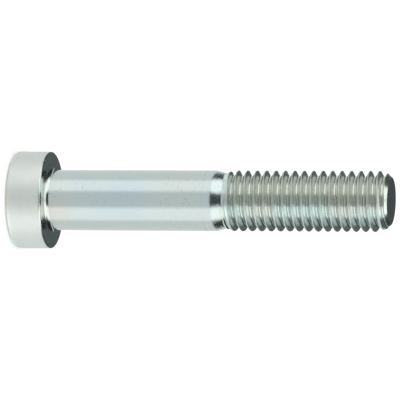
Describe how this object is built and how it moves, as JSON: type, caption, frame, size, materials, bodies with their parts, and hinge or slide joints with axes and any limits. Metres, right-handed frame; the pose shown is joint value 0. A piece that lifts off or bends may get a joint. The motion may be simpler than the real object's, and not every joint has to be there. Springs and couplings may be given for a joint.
{
  "type": "low head cap screw",
  "caption": "Low cylindrical head cap screw with a hexagon socket, a plain shank and a rolled right-hand metric thread on its tip half.",
  "frame": {"origin": "centre of the bearing face under the head", "axes": "+Z along the shank to the tip, so the screw stands on its head's flat top; the socket's corners lie on X and its flats face Y"},
  "size_m": [0.0128, 0.0128, 0.0501],
  "materials": {
    "zinc_plated_steel": "bright zinc plating over cold-headed and thread-rolled steel"
  },
  "bodies": {
    "root": {"cap_screw": "zinc_plated_steel"}
  },
  "joints": []
}
